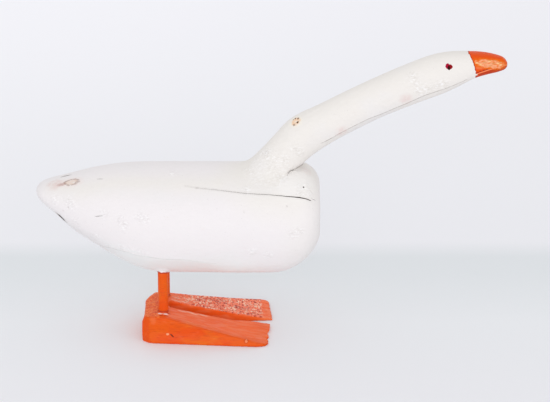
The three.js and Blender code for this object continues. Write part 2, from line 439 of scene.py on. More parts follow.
def height_along(points, route):
    """The height of a route at the X of each point."""
    route = route[np.argsort(route[:, 0])]
    return np.interp(points[:, 0], route[:, 0], route[:, 2])


def add_line(piece, routes):
    """Keeps how far each point lies above or below some routes, as 0.5 on them, and where they run."""
    points = surface_of(piece)[0]
    route = np.concatenate(routes)
    away = from_route(points, route)
    below = np.sign(height_along(points, route) - points[:, 2])
    add_mask(piece, "line", 0.5 + below * away / LINE_SPAN)
    add_mask(piece, "lined", eased(away, 4 * MM, 2 * MM))


def with_modifier(piece, kind, settings):
    """Gives a piece the mesh that a modifier makes of it."""
    modifier = piece.modifiers.new("step", kind)
    for name, value in settings.items():
        setattr(modifier, name, value)
    depsgraph = bpy.context.evaluated_depsgraph_get()
    made = bpy.data.meshes.new_from_object(piece.evaluated_get(depsgraph))
    piece.modifiers.clear()
    piece.data = made


def joined(piece, operation, parts, inside):
    """Cuts closed parts out of a piece, or adds them to it, with the inside's material on the new faces."""
    mesh = mesh_of("parts", parts)
    mesh.materials.append(inside)
    other = add_object("parts", mesh)
    settings = {"operation": operation, "solver": "EXACT", "material_mode": "TRANSFER", "object": other}
    with_modifier(piece, "BOOLEAN", settings)
    bpy.data.objects.remove(other)


def finish_piece(piece, node, crisp=38):
    """Smooth shading with crisp cut edges, and the piece's place in the model."""
    piece.data.shade_smooth()
    piece.data.set_sharp_from_angle(angle=math.radians(crisp))
    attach(piece, "root")
    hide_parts(node)


# Cutters: what was chipped, drilled or split out of the wood

WEDGE_PROUD = 1.5 * MM
WEDGE_FLARE = 1.1
WEDGE_TIP = 0.15
LEG_SIDES = 64


def wedge(form, pixels, half_widths, depths, spacing=1.5 * MM, wander=0.0):
    """A closed wedge along a line of the photograph, thin at its foot. The half widths and depths are in
    millimetres, at evenly spaced places along the line."""
    route = seen_route(form, pixels, spacing)
    share = np.linspace(0, 1, len(route))
    half, deep = (
        np.interp(share, np.linspace(0, 1, len(sizes)), np.array(sizes) * MM)[:, None]
        for sizes in (half_widths, depths)
    )
    inward = -np.array([form.find_nearest(Vector(p))[1] for p in route])
    for _ in range(8):
        inward[1:-1] = unit(inward[:-2] + inward[1:-1] + inward[2:])
    side = unit(np.cross(inward, unit(np.gradient(route, axis=0))))
    swing = np.array([noise.noise((k * 0.8, 0.5, 0.5)) for k in range(len(route))])[:, None]
    route = route + side * swing * wander
    top = route - inward * WEDGE_PROUD
    foot = route + inward * deep
    mouth = side * half * WEDGE_FLARE
    tip = side * half * WEDGE_TIP
    return closed_part(np.stack([top + mouth, top - mouth, foot - tip, foot + tip], axis=1))


def ball(centre, radius):
    work = bmesh.new()
    bmesh.ops.create_icosphere(work, subdivisions=2, radius=radius)
    points = np.array([v.co for v in work.verts]) + np.array(centre)
    faces = [[v.index for v in f.verts] for f in work.faces]
    work.free()
    return points, faces


def axis_of(node):
    """Where a leg's axis stands on the ground, and the leg's radius."""
    low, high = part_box(node)
    return np.array(((low.x + high.x) / 2, (low.y + high.y) / 2)), (high.x - low.x) / 2


def from_axis(points, node):
    return np.linalg.norm(points[..., :2] - axis_of(node)[0], axis=-1)


def rod_rings(node, wider, heights):
    """Rings of an upright rod on the axis of a leg, wider than it by an amount."""
    middle, radius = axis_of(node)
    angles = 2 * math.pi * np.arange(LEG_SIDES) / LEG_SIDES
    rings = np.zeros((len(heights), LEG_SIDES, 3))
    rings[..., 0] = middle[0] + (radius + wider) * np.cos(angles)
    rings[..., 1] = middle[1] - (radius + wider) * np.sin(angles)
    rings[..., 2] = np.array(heights)[:, None]
    return rings


def rod(node, wider, bottom, top):
    return closed_part(rod_rings(node, wider, (bottom, top)))


# Materials


class Finish:
    """A material in the making, with its colour, roughness and height in metres so far."""

    def __init__(self, name):
        self.material = bpy.data.materials.new(name)
        self.material.use_nodes = True
        self.tree = self.material.node_tree
        self.shader = self.tree.nodes["Principled BSDF"]
        self.place = self.add("ShaderNodeTexCoord", {}).outputs["Object"]
        self.colour = None
        self.roughness = None
        self.height = None

    def fill(self, node, inputs):
        """Links sockets to a node's inputs, or sets them to constants."""
        for name, value in inputs.items():
            if isinstance(value, bpy.types.NodeSocket):
                self.tree.links.new(value, node.inputs[name])
            else:
                node.inputs[name].default_value = value

    def add(self, kind, inputs, **settings):
        node = self.tree.nodes.new(kind)
        for name, value in settings.items():
            setattr(node, name, value)
        self.fill(node, inputs)
        return node

    def cloud(self, size, stretch=(1, 1, 1), detail=2.0, roughness=0.5, seed=0.0):
        """Noise from 0 to 1 with blobs of a size in metres."""
        scale = [1 / (size * s) for s in stretch]
        inputs = {"Vector": self.place, "Scale": scale, "Location": (seed, seed, seed)}
        moved = self.add("ShaderNodeMapping", inputs).outputs[0]
        inputs = {"Vector": moved, "Scale": 1.0, "Detail": detail, "Roughness": roughness}
        return self.add("ShaderNodeTexNoise", inputs).outputs[0]

    def rise(self, value, low, high):
        """0 where the value is below low and 1 above high, or the reverse where high is the lesser."""
        inputs = {"Value": value, "From Min": low, "From Max": high}
        return self.add("ShaderNodeMapRange", inputs, interpolation_type="SMOOTHSTEP").outputs[0]

    def between(self, value, low, high):
        """A value from 0 to 1 turned into one from low to high."""
        return self.add("ShaderNodeMapRange", {"Value": value, "To Min": low, "To Max": high}).outputs[0]

    def patches(self, low, high, *shape, **more):
        """A cloud cut into patches: 0 where it is below low and 1 above high."""
        return self.rise(self.cloud(*shape, **more), low, high)

    def swells(self, low, high, *shape, **more):
        """A cloud with values from low to high."""
        return self.between(self.cloud(*shape, **more), low, high)

    def math(self, operation, first, second=0.0):
        return self.add("ShaderNodeMath", {0: first, 1: second}, operation=operation).outputs[0]

    def times(self, first, second):
        return self.math("MULTIPLY", first, second)

    def plus(self, first, second):
        return self.math("ADD", first, second)

    def mask(self, name):
        """A number kept on the piece's points."""
        return self.add("ShaderNodeAttribute", {}, attribute_name=name).outputs["Fac"]

    def line(self, half_width):
        """Up to 1, unevenly, on the line that add_line kept, and 0 well outside its half width."""
        away = self.math("ABSOLUTE", self.plus(self.mask("line"), -0.5))
        reach = half_width / LINE_SPAN
        line = self.times(self.rise(away, 1.6 * reach, 0.4 * reach), self.mask("lined"))
        return self.times(line, self.swells(-0.1, 1.9, 4 * MM, detail=3, seed=47))

    def mix(self, share, under, over):
        under, over = (v if isinstance(v, bpy.types.NodeSocket) else (*v, 1.0) for v in (under, over))
        return self.add("ShaderNodeMix", {0: share, 6: under, 7: over}, data_type="RGBA").outputs[2]

    def blend(self, share, under, over):
        return self.add("ShaderNodeMix", {0: share, 2: under, 3: over}).outputs[0]

    def coat(self, share, paint, strength=1.0, mask=None):
        """Covers the colour so far with paint, by a share, a strength and one of the piece's masks."""
        if mask:
            share = self.times(self.mask(mask), share)
        if strength != 1.0:
            share = self.times(share, strength)
        self.colour = self.mix(share, self.colour, paint)

    def lay_over(self, earlier, share):
        """Lets the finish so far cover an earlier colour, roughness and height by a share."""
        colour, roughness, height = earlier
        self.colour = self.mix(share, colour, self.colour)
        self.roughness = self.blend(share, roughness, self.roughness)
        self.height = self.blend(share, height, self.height)

    def spot(self, centre, turned, reach, ragged, grain=3 * MM):
        """Distance from a spot's centre in its own reaches, so 1 at its rim, with a ragged rim."""
        inputs = {"Vector": self.place, "Location": centre, "Rotation": turned, "Scale": reach}
        moved = self.add("ShaderNodeMapping", inputs, vector_type="TEXTURE").outputs[0]
        distance = self.add("ShaderNodeVectorMath", {0: moved}, operation="LENGTH").outputs["Value"]
        return self.plus(distance, self.swells(-ragged, ragged, grain))

    def ramp(self, value, stops):
        """A colour and how strongly it shows, from (place, colour, strength) stops."""
        node = self.add("ShaderNodeValToRGB", {"Fac": value})
        ends = node.color_ramp.elements
        while len(ends) < len(stops):
            ends.new(1.0)
        for end, (place, colour, strength) in zip(ends, stops):
            end.position = place
            end.color = (*colour, strength)
        return node.outputs["Color"], node.outputs["Alpha"]

    def done(self, gloss=0.5):
        """The material, with all that it has so far joined to its shader."""
        inputs = {"Base Color": self.colour, "Roughness": self.roughness, "Specular IOR Level": gloss}
        if self.height:
            bump = self.add("ShaderNodeBump", {"Height": self.height, "Distance": 1.0, "Strength": 1.0})
            inputs["Normal"] = bump.outputs[0]
        self.fill(self.shader, inputs)
        return self.material


WHITE = (0.86, 0.822, 0.825)
WARM_WHITE = (0.85, 0.815, 0.775)
PAINTED_HIGHLIGHT_WHITE = (0.96, 0.945, 0.94)
COOL_WHITE = (0.835, 0.815, 0.815)
THIN_WHITE = (0.76, 0.66, 0.61)
GRIME_AND_SHADE = (0.28, 0.24, 0.21)
KNOT_PEACH = (0.9, 0.61, 0.4)
KNOT_ROSE = (0.74, 0.5, 0.35)
KNOT_BROWN = (0.11, 0.045, 0.02)
KNOT_HALO = (0.9, 0.84, 0.74)
RING_BROWN = (0.33, 0.17, 0.12)
RING_PINK = (0.86, 0.72, 0.68)
BOUNCE_CANCELLING_WHITE = (0.88, 0.92, 0.912)
STAIN_PINK = (0.74, 0.5, 0.47)
STAIN_RED = (0.42, 0.16, 0.12)
BARE_WOOD = (0.16, 0.11, 0.08)
DARK_WOOD = (0.035, 0.026, 0.022)
ORANGE = (0.82, 0.108, 0.004)
RED_ORANGE = (0.82, 0.07, 0.006)
YELLOW_ORANGE = (0.83, 0.18, 0.008)
PALE_ORANGE = (0.98, 0.31, 0.14)
FADED_AND_LIT_ORANGE = (0.98, 0.135, 0.016)
FACET_SHADE_AND_FLECK_RED = (0.76, 0.045, 0.006)
WORN_ORANGE = (0.98, 0.235, 0.13)
WORN_PALE = (0.99, 0.62, 0.45)
WORN_RED = (0.48, 0.045, 0.03)
OLD_RED = (0.33, 0.012, 0.012)
HEEL_ORANGE = (0.98, 0.17, 0.02)
HEEL_FLECK = (0.99, 0.32, 0.07)
BEAK_PALE = (0.92, 0.4, 0.21)
BEAK_FLECK = (0.95, 0.68, 0.3)
BEAK_TAN = (0.56, 0.31, 0.09)
CHIP_AND_GLINT_PINK = (0.96, 0.78, 0.72)
SIGHT_CRIMSON = (0.4, 0.002, 0.034)
SIGHT_RED = (0.3, 0.001, 0.006)
SIGHT_BLACK = (0.035, 0.001, 0.001)


def white_paint(finish):
    """Old matt white paint brushed on carved wood."""
    finish.colour = WHITE
    finish.coat(finish.mask("warm"), WARM_WHITE)
    finish.coat(finish.patches(0.48, 0.74, 0.045, (1.6, 1, 1), detail=3, seed=7), COOL_WHITE, 0.5)
    thin = finish.patches(0.64, 0.78, 5 * MM, (3, 1, 1), detail=5, roughness=0.65, seed=3)
    finish.coat(thin, THIN_WHITE, 0.28)
    finish.coat(finish.patches(0.74, 0.80, 1.1 * MM, detail=1, seed=11), GRIME_AND_SHADE, 0.4)
    finish.coat(finish.swells(0.2, 1.5, 3 * MM, detail=4), GRIME_AND_SHADE, mask="grime_and_shade")
    # A thin, uneven darker line along the carved edges that add_line kept.
    finish.coat(finish.line(0.8 * MM), GRIME_AND_SHADE, 0.5)
    finish.coat(finish.patches(0.25, 0.6, 5 * MM, detail=4, seed=5), STAIN_PINK, mask="stain")
    rough = finish.cloud(2.1 * MM, (1.8, 1, 1), detail=3, roughness=0.6, seed=71)
    # Painted shade in the hollows of the scuffs' roughness and painted highlights on its crests, standing in
    # for the light on their relief.
    finish.coat(finish.rise(rough, 0.48, 0.37), GRIME_AND_SHADE, 0.12, "scuffed")
    finish.coat(finish.rise(rough, 0.52, 0.62), PAINTED_HIGHLIGHT_WHITE, 0.8, "scuffed")
    strokes = finish.swells(0, 0.09 * MM, 0.9 * MM, (14, 1, 1), seed=2)
    lumps = finish.swells(0, 0.5 * MM, 4.5 * MM, (1.6, 1, 1), detail=3, seed=9)
    scuffs = finish.times(finish.mask("scuffed"), finish.between(rough, 0, 0.8 * MM))
    finish.height = finish.plus(finish.plus(strokes, lumps), scuffs)
    finish.roughness = finish.swells(0.48, 0.72, 9 * MM, detail=3, seed=4)


def orange_paint(finish):
    """Half-gloss orange paint on straight-grained wood."""
    finish.colour = ORANGE
    finish.coat(finish.patches(0.42, 0.70, 0.03, (2, 1, 1)), RED_ORANGE, 0.8)
    finish.coat(finish.patches(0.52, 0.72, 0.018, (2, 1, 1), detail=3, seed=33), YELLOW_ORANGE, 0.6)
    pale = finish.patches(0.56, 0.74, 3.5 * MM, (5, 1, 1), detail=5, roughness=0.6, seed=21)
    finish.coat(pale, PALE_ORANGE, 0.15)
    grain = finish.cloud(1.3 * MM, (16, 1, 1), detail=3, seed=23)
    finish.coat(finish.rise(grain, 0.5, 0.3), OLD_RED, 0.22)
    finish.coat(finish.swells(0.4, 1.2, 3 * MM, detail=3), OLD_RED, mask="grime_and_shade")
    lumps = finish.swells(0, 0.4 * MM, 3 * MM, (2, 1, 1), detail=3, seed=27)
    finish.height = finish.plus(finish.between(grain, 0, 0.18 * MM), lumps)
    finish.roughness = finish.swells(0.32, 0.5, 7 * MM, detail=3, seed=29)


def turned_to(form, centre, along=FORWARD):
    """Angles that lay a spot flat on a form at its centre, with its first axis along a direction."""
    third = form.find_nearest(centre)[1].normalized()
    second = third.cross(along).normalized()
    first = second.cross(third)
    return Matrix((first, second, third)).transposed().to_euler()


def ringed_knot(finish):
    """The tail's knot: a broken brown ring round rosy wood that shows through the paint."""
    centre, half = tail_knot()
    reach = (half.length, TAIL_KNOT_SQUASH * half.length, 0.02)
    ring = finish.spot(centre, turned_to(BODY, centre, half), reach, ragged=0.3, grain=5 * MM)
    shown, strength = finish.ramp(finish.times(ring, 0.5), [
        (0.0, KNOT_ROSE, 0.40),
        (0.30, KNOT_ROSE, 0.50),
        (0.42, RING_BROWN, 0.66),
        (0.50, RING_BROWN, 0.58),
        (0.60, RING_PINK, 0.40),
        (0.95, RING_PINK, 0.0),
    ])
    broken = finish.patches(0.24, 0.48, 3 * MM, detail=3, seed=31)
    finish.coat(finish.times(strength, broken), shown)


def add_spots(finish, form, pixels, across, up, paint, strength, soft=0.15):
    """Small ragged spots of another colour at places of the photograph, their reaches in millimetres."""
    for pixel in pixels:
        centre = seen(form, pixel)
        reach = (across * MM, up * MM, 5 * MM)
        spot = finish.spot(centre, turned_to(form, centre), reach, ragged=0.5, grain=2 * MM)
        finish.coat(finish.rise(spot, 1 + soft, 1 - soft), paint, strength)


def blotched_knot(finish):
    """The neck's knot: peach wood in a pale ring, with dark blotches."""
    centre = seen(NECK, NECK_KNOT)
    ring = finish.spot(centre, turned_to(NECK, centre), (6.6 * MM, 6.6 * MM, 0.012), ragged=0.35)
    finish.coat(finish.rise(ring, 1.8, 1.0), KNOT_HALO, 0.6)
    patchy = finish.swells(0.35, 1.25, 2.4 * MM, seed=65)
    peach = finish.times(finish.rise(ring, 1.1, 0.7), patchy)
    finish.coat(finish.math("MINIMUM", peach, 0.95), KNOT_PEACH)
    add_spots(finish, NECK, [NECK_KNOT], 2.2, 1.3, KNOT_HALO, 0.6, 0.5)
    for pixel, radius, strength in KNOT_BLOTCHES:
        add_spots(finish, NECK, [pixel], radius, radius, KNOT_BROWN, strength, 0.3)


def bare_wood():
    """Dark dry wood inside a crack or a chip."""
    finish = Finish("bare_wood")
    finish.colour = DARK_WOOD
    grain = finish.cloud(0.8 * MM, (12, 1, 1), detail=3)
    finish.coat(grain, BARE_WOOD)
    finish.roughness = finish.between(grain, 0.7, 0.95)
    finish.height = finish.between(grain, 0, 0.2 * MM)
    return finish.done()


INSIDE = bare_wood()

# Body: a log with a tapered tail, split along its side as it dried

NECK_LOW, NECK_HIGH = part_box("neck_and_head")
BODY_LOW, BODY_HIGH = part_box("body")
BODY_ROWS = 330
BODY_SIDES = 280
TAIL_TURN = 18 * MM
BREAST_TURN = 60 * MM
SOCKET_BOX = ((NECK_LOW.x - 0.02, -1, BODY_HIGH.z - 0.035), (NECK_LOW.x + 0.1, 1, 1))
LEG_BOX = ((-0.02, -1, 0), (0.02, 1, BODY_LOW.z + 0.045))
BODY = form_of("body", [SOCKET_BOX, LEG_BOX])
UNDER_FOOT = math.radians(162)
LEGS = ("leg_right", "leg_left")
LEG_PAINT = 0.3 * MM
LEG_ROOM = 0.75 * MM
FEET_MIDDLE = 30 * MM


def body_station(share):
    """Rays fan out at the tail and at the breast, and stand square between them."""
    tail_share = 0.1
    breast_share = 0.75
    start = BODY_LOW.x + TAIL_TURN
    end = BODY_HIGH.x - BREAST_TURN
    x = start + (end - start) * min(max((share - tail_share) / (breast_share - tail_share), 0), 1)
    lean = 0.0
    if share < tail_share:
        lean = -math.pi / 2 * (1 - share / tail_share)
    if share > breast_share:
        lean = math.pi / 2 * (share - breast_share) / (1 - breast_share)
    top = BODY.ray_cast(Vector((x, 0, 1)), -UP)[0].z
    bottom = BODY.ray_cast(Vector((x, 0, -1)), UP)[0].z
    return Vector((x, 0, (top + bottom) / 2)), FORWARD, UP, lean


def tail_knot():
    """The middle of the tail's knot, and the half of its long way."""
    start, end = (seen(BODY, pixel) for pixel in TAIL_KNOT_ENDS)
    return seen(BODY, TAIL_KNOT), (end - start) / 2


def knot_ring():
    """Points round the rim of the tail's knot."""
    centre, half = tail_knot()
    side = BODY.find_nearest(centre)[1].cross(half) * TAIL_KNOT_SQUASH
    angles = 2 * math.pi * np.arange(40) / 40
    return np.array([BODY.find_nearest(centre + half * math.cos(a) + side * math.sin(a))[0] for a in angles])


def collar(points):
    """Paint built up round the top of each leg."""
    height = np.zeros(points.shape[:-1])
    for node in LEGS:
        height += eased(from_axis(points, node), 10.5 * MM, 7.5 * MM) * (points[..., 2] < BODY_LOW.z + 0.03)
    return height


def body_relief(grid):
    """How far the carving stands out from the plain form."""
    relief = 0.3 * MM + 0.45 * MM * cloud(grid, 0.11, (1.5, 1, 1), seed=1)
    relief += 0.25 * MM * cloud(grid, 0.022, (6, 1, 1), seed=2)
    relief += 0.10 * MM * cloud(grid, 7 * MM, (1.5, 1, 1), seed=3)
    under = seen_route(BODY, UNDER_EDGE, 8 * MM)
    relief += planed_flank(grid, under, UNDER_FOOT, 0.5 * MM, 0.6 * MM, 5 * MM, 14)
    rough = eased(angles_of(grid), UNDER_FOOT - 0.75, UNDER_FOOT - 0.5)
    relief += 0.18 * MM * rough * cloud(grid, 5 * MM, (1.5, 1, 1), seed=4)
    patch = eased(to_spot(grid, BODY, FILLER_MIDDLE), 0.05, 0.02)
    relief += 0.35 * MM * patch * cloud(grid, 5 * MM, seed=5)
    relief += 1.1 * MM * scuffed(grid, BODY, SCUFFS) * dents(grid)
    for pixel in FAINT_PITS:
        relief -= 0.5 * MM * hump(to_spot(grid, BODY, pixel), PIT_WIDTH)
    relief += 0.25 * MM * hump(to_line(grid, BODY, BREAST_EDGE, 2 * MM), 2 * MM)
    relief += 0.35 * MM * hump(from_route(grid, knot_ring()), 1.1 * MM)
    return relief + 1.6 * MM * collar(grid)


def body_hollows(socket):
    """The neck's socket and the holes for the legs."""
    holes = [rod(node, LEG_ROOM, BODY_LOW.z - 0.01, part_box(node)[1].z + 0.5 * MM) for node in LEGS]
    return [closed_part(socket)] + holes


def body_cuts():
    """The crack, the nicks, the seam in front of the neck and the pit."""
    nicks = (
        (TAIL_NICK, (0.1, 0.5, 0.5, 0.1), (0.5, 1.2, 0.5)),
        (TAIL_DASH, (0.2, 0.5, 0.2), (0.5, 0.9, 0.5)),
        (TAIL_CHIP, (0.6, 2, 2.2, 0.6), (1, 3, 1)),
        (BACK_NICK, (0.2, 0.7, 0.6, 0.2), (0.4, 1.2, 0.4)),
        (NECK_SEAM, (0.13, 0.22, 0.32, 0.17, 0.2, 0.17, 0.13), (3, 3)),
    )
    return [
        wedge(BODY, CRACK, CRACK_HALF_WIDTHS, (1, 3, 6, 8, 8), 2.5 * MM, wander=0.3 * MM),
        wedge(BODY, CRACK_BRANCH, (0.05, 0.3, 0.05), (1, 3, 1), 1 * MM),
        *(wedge(BODY, *nick) for nick in nicks),
        ball(seen(BODY, PIT), 1.05 * MM),
    ]


def rough_filler(points):
    """How scuffed the filler round the neck's foot is."""
    return 0.4 * eased(to_spot(points, BODY, FILLER_MIDDLE), 0.045, 0.02)


def seam_grime(points):
    """Dirt along the seam in front of the neck."""
    return 0.3 * hump(to_line(points, BODY, NECK_SEAM), 0.7 * MM)


def body_masks(body):
    """Where the paint is dirty, scuffed, stained or warm, where painted light pales the shoulder and the
    faces turned down, and its lower edge.
    """
    points, normals = surface_of(body)
    grime_and_shade = 0.22 * eased(to_line(points, BODY, CRACK, 2.5 * MM), 2.5 * MM, 0.4 * MM)
    for pixels, strength, width in ((TAIL_CHIP, 1.0, 3), (BACK_NICK, 0.8, 1.8), (CRACK_START, 0.3, 0.9)):
        grime_and_shade += strength * hump(to_line(points, BODY, pixels), width * MM)
    for pixel in FAINT_PITS:
        grime_and_shade += 0.5 * hump(to_spot(points, BODY, pixel), PIT_WIDTH)
    add_mask(body, "grime_and_shade", grime_and_shade + seam_grime(points))
    add_mask(body, "scuffed", np.maximum(scuffed(points, BODY, SCUFFS), rough_filler(points)))
    stain = 0.45 * eased(to_spot(points, BODY, TAIL_STAIN), 0.016, 0.004)
    add_mask(body, "stain", stain + 0.22 * eased(to_spot(points, BODY, BREAST_STAIN), 0.012, 0.004))
    warm = eased(to_spot(points, BODY, FILLER_MIDDLE), 0.085, 0.035)
    warm += 0.4 * eased(points[:, 0], 0.14, 0.18)
    add_mask(body, "warm", warm + 0.8 * hump(to_line(points, BODY, WARM_BAND, 4 * MM), 15 * MM))
    # Painted highlight: the paint is made paler on the shoulder below the neck, where the neck's shadow
    # falls.
    add_mask(body, "pale", 0.45 * eased(to_spot(points, BODY, SHOULDER_HIGHLIGHT_SPOT), 0.042, 0.012))
    # Painted light: faces turned down get a paler, cooler white, most over the feet, against the shade under
    # the body and the orange light bounced up from the feet.
    bounce_over_feet = 0.15 + 0.85 * eased(np.abs(points[:, 0] - FEET_MIDDLE), 0.13, 0.06)
    add_mask(body, "under", bounce_over_feet * eased(normals[:, 2], -0.2, -0.8))
    add_line(body, [seen_route(BODY, UNDER_EDGE, 1 * MM)])


def body_paint():
    """White paint, with the tail's knot and stains, and bare dark wood in the chip under the tail."""
    finish = Finish("body_paint")
    white_paint(finish)
    # Painted light on faces turned down, paler and cooler against their shade and the feet's orange bounce.
    finish.coat(finish.mask("under"), BOUNCE_CANCELLING_WHITE)
    # Painted highlight on the shoulder, lightening the neck's shadow there.
    finish.coat(finish.mask("pale"), PAINTED_HIGHLIGHT_WHITE)
    ringed_knot(finish)
    core = seen(BODY, TAIL_STAIN_CORE)
    reach = (6.5 * MM, 3 * MM, 0.01)
    red = finish.spot(core, turned_to(BODY, core), reach, ragged=0.5, grain=2.5 * MM)
    finish.coat(finish.rise(red, 1.4, 0.3), STAIN_RED, 0.5)
    add_spots(finish, BODY, CHIP_DARKS, 2.4, 3.2, DARK_WOOD, 0.95, 0.3)
    return finish.done()


def carved_skin():
    """The body's carved surface, before anything is cut out of it."""
    base = skin(BODY, body_station, BODY_ROWS, BODY_SIDES)
    base = smoothed(base, BODY_LOW.x + 0.012, BODY_HIGH.x - 0.02, 0.03, (2, 2.5), (5, 3.2))
    return base + outward_of(base) * body_relief(base)[..., None]


def make_body(grid, socket):
    body = add_piece("carved_body", grid, body_paint())
    joined(body, "DIFFERENCE", body_hollows(socket), INSIDE)
    joined(body, "DIFFERENCE", body_cuts(), INSIDE)
    body_masks(body)
    finish_piece(body, "body")


# Neck and head: a bent branch, with the beak painted on its end

NECK = form_of("neck_and_head")
NECK_ROWS = 470
NECK_SIDES = 144
NECK_SPINE = [
    (0.13, 0.0), (0.22, 0.20), (0.305, 0.38), (0.40, 0.50), (0.58, 0.66), (0.76, 0.79), (0.88, 0.88),
    (0.97, 0.905),
]
THROAT_FOOT = math.radians(166)
BACK_FILLER = (2.4 * MM, 11 * MM)
SIDE_FILLER = (4.4 * MM, 22 * MM)
THINNEST_FILLER = 0.15 * MM
BACK_BEARING = math.radians(165)
SIDE_BEARING = math.radians(120)
BARE_FRONT = math.radians(58)
BARE_HEIGHT = 11 * MM
SEAM_SETBACK = 0.6 * MM
DRAWN_IN = 3 * MM
SKIRT_SUNK = 0.25 * MM


def on_spine(share):
    """A point on the neck's middle line, whose corners are shares of the neck's length and height."""
    across, up = curve_through(NECK_SPINE, share)
    x = NECK_LOW.x + across * (NECK_HIGH.x - NECK_LOW.x)
    z = NECK_LOW.z + 0.5 * MM + up * (NECK_HIGH.z - NECK_LOW.z)
    return Vector((x, 0, z))


def neck_station(share):
    """Rays stand square to the spine, level at the foot, and fan out at the tip of the beak."""
    spine_share = 0.94
    step = 0.002
    place = min(share / spine_share, 1)
    origin = on_spine(place)
    forward = (on_spine(min(place + step, 1)) - on_spine(max(place - step, 0))).normalized()
    level = float(eased(place, 0.22, 0.0))
    forward = forward.lerp(UP, level).normalized()
    up = Vector((-forward.z, 0, forward.x))
    ends = [NECK.ray_cast(origin, up)[0], NECK.ray_cast(origin, -up)[0]]
    if None not in ends:
        origin = (ends[0] + ends[1]) / 2
    lean = math.pi / 2 * max((share - spine_share) / (1 - spine_share), 0)
    return origin, forward, up, lean


def neck_weight(place):
    """Rows lie closer together on the beak and on the foot."""
    beak = eased(place[0], NECK_HIGH.x - 0.06, NECK_HIGH.x - 0.04)
    foot = eased(place[2], BODY_HIGH.z + 0.014, BODY_HIGH.z + 0.006)
    return 1 + 1.0 * float(beak) + 2.2 * float(foot)


def foot_spread(place, above, seam_bearing, seam_reach):
    """How far outwards the neck's surface stands at a place near its foot, some height above the body.
    Filler is feathered out behind and beside the foot. In front it is bare and ends at the seam."""
    bearing = abs(math.atan2(place[1], place[0]))
    reach = math.hypot(place[0], place[1])
    beside = float(eased(bearing, BACK_BEARING, SIDE_BEARING))
    fall, start = (back + (side - back) * beside for back, side in zip(BACK_FILLER, SIDE_FILLER))
    feathered = fall * math.log(start / min(max(above, THINNEST_FILLER), start))
    wanted = float(np.interp(bearing, seam_bearing, seam_reach)) - SEAM_SETBACK
    bare = max(wanted - reach, -DRAWN_IN) * (1 - min(max(above / BARE_HEIGHT, 0), 1)) ** 2
    filled = float(eased(bearing, BARE_FRONT, BARE_FRONT + 0.25))
    spread = bare * (1 - filled) + feathered * filled
    return min(spread, 0) + max(spread, 0) * float(eased(above, -1.2 * MM, 0.0))


def spread_foot(grid, carved):
    """The neck's skin with its foot spread over the carved body, and the form of the socket for it."""
    middle = grid[0].mean(axis=0)
    seam = seen_route(BODY, NECK_SEAM, 1 * MM) - middle
    seam = seam[seam[:, 1] < 0]
    bearing = np.arctan2(np.abs(seam[:, 1]), seam[:, 0])
    order = np.argsort(bearing)
    reach = np.linalg.norm(seam[order, :2], axis=1)
    points, faces = closed_part(carved)
    ground = BVHTree.FromPolygons(points.tolist(), faces)
    grid = grid.copy()
    socket = grid.copy()
    for i, j in zip(*np.nonzero(grid[..., 2] < BODY_HIGH.z + SIDE_FILLER[1])):
        x, y, z = grid[i, j]
        top, normal = ground.ray_cast(Vector((x, y, 1)), -UP)[:2]
        if not top:
            continue
        height = z - top.z
        place = grid[i, j] - middle
        outwards = foot_spread(place, height * normal.z + SKIRT_SUNK, bearing[order], reach)
        x, y = (grid[i, j] + unit(place * np.array((1, 1, 0))) * outwards)[:2]
        top = ground.ray_cast(Vector((x, y, 1)), -UP)[0]
        if top:
            grid[i, j] = x, y, top.z + height
        if outwards < 0:
            socket[i, j] = grid[i, j]
    sunk = socket[socket[:, :, 2].max(axis=1) < BODY_HIGH.z + 0.012][::4, ::2]
    middle = sunk.mean(axis=1, keepdims=True)
    return grid, middle + (sunk - middle) * 1.02 - np.array((0, 0, 0.4 * MM))


def neck_relief(grid):
    """How far the carving stands out from the plain form."""
    relief = 0.25 * MM + 0.3 * MM * cloud(grid, 0.05, (1.6, 1, 1.2), seed=12)
    relief += 0.2 * MM * cloud(grid, 0.012, (5, 1, 2), seed=13)
    relief += 0.10 * MM * cloud(grid, 5 * MM, (1.6, 1, 1.2), seed=14)
    relief += 0.3 * MM * eased(grid[..., 0], 0.215, 0.16) * cloud(grid, 7 * MM, seed=17)
    throat = seen_route(NECK, THROAT_EDGE, 6 * MM)
    relief += planed_flank(grid, throat, THROAT_FOOT, 0.3 * MM, 0.45 * MM, 3 * MM, 8)
    jaw = seen_route(NECK, JAW_EDGE, 4 * MM)
    relief += planed_flank(grid, jaw, THROAT_FOOT, 0.4 * MM, 0.35 * MM, 2.5 * MM, 5)
    relief += 0.5 * MM * hump(to_line(grid, NECK, UPPER_EDGE), 1.2 * MM)
    knot = to_spot(grid, NECK, NECK_KNOT)
    relief += 0.35 * MM * hump(knot - 5.5 * MM, 1.6 * MM) - 0.25 * MM * hump(knot, 3 * MM)
    relief += 0.7 * MM * scuffed(grid, NECK, NECK_SCUFFS) * dents(grid)
    folded = grid * (1, 0, 1) - np.abs(grid) * (0, 1, 0)
    return relief + beak_relief(grid, folded)


def beak_relief(grid, folded):
    """The mouth, the ridge, the worn side and the eye's hollow. They are the same on both sides."""
    relief = -0.35 * MM * hump(to_spot(folded, NECK, SIGHT_SPOT), 2.5 * MM)
    relief -= 0.8 * MM * hump(to_line(folded, NECK, MOUTH, 0.4 * MM), 0.6 * MM)
    relief += 0.3 * MM * hump(to_line(folded, NECK, BEAK_RIDGE, 0.6 * MM), 1.2 * MM)
    relief -= 1.2 * MM * hump(to_spot(folded, NECK, BEAK_UNDER_TIP), 5 * MM)
    relief -= 0.7 * MM * hump(to_spot(folded, NECK, BEAK_TIP), 3 * MM)
    worn = hump(to_spot(folded, NECK, BEAK_WORN), 7 * MM)
    return relief - 0.5 * MM * worn * (1 + 0.5 * cloud(grid, 2 * MM, (2, 1, 1), seed=15))


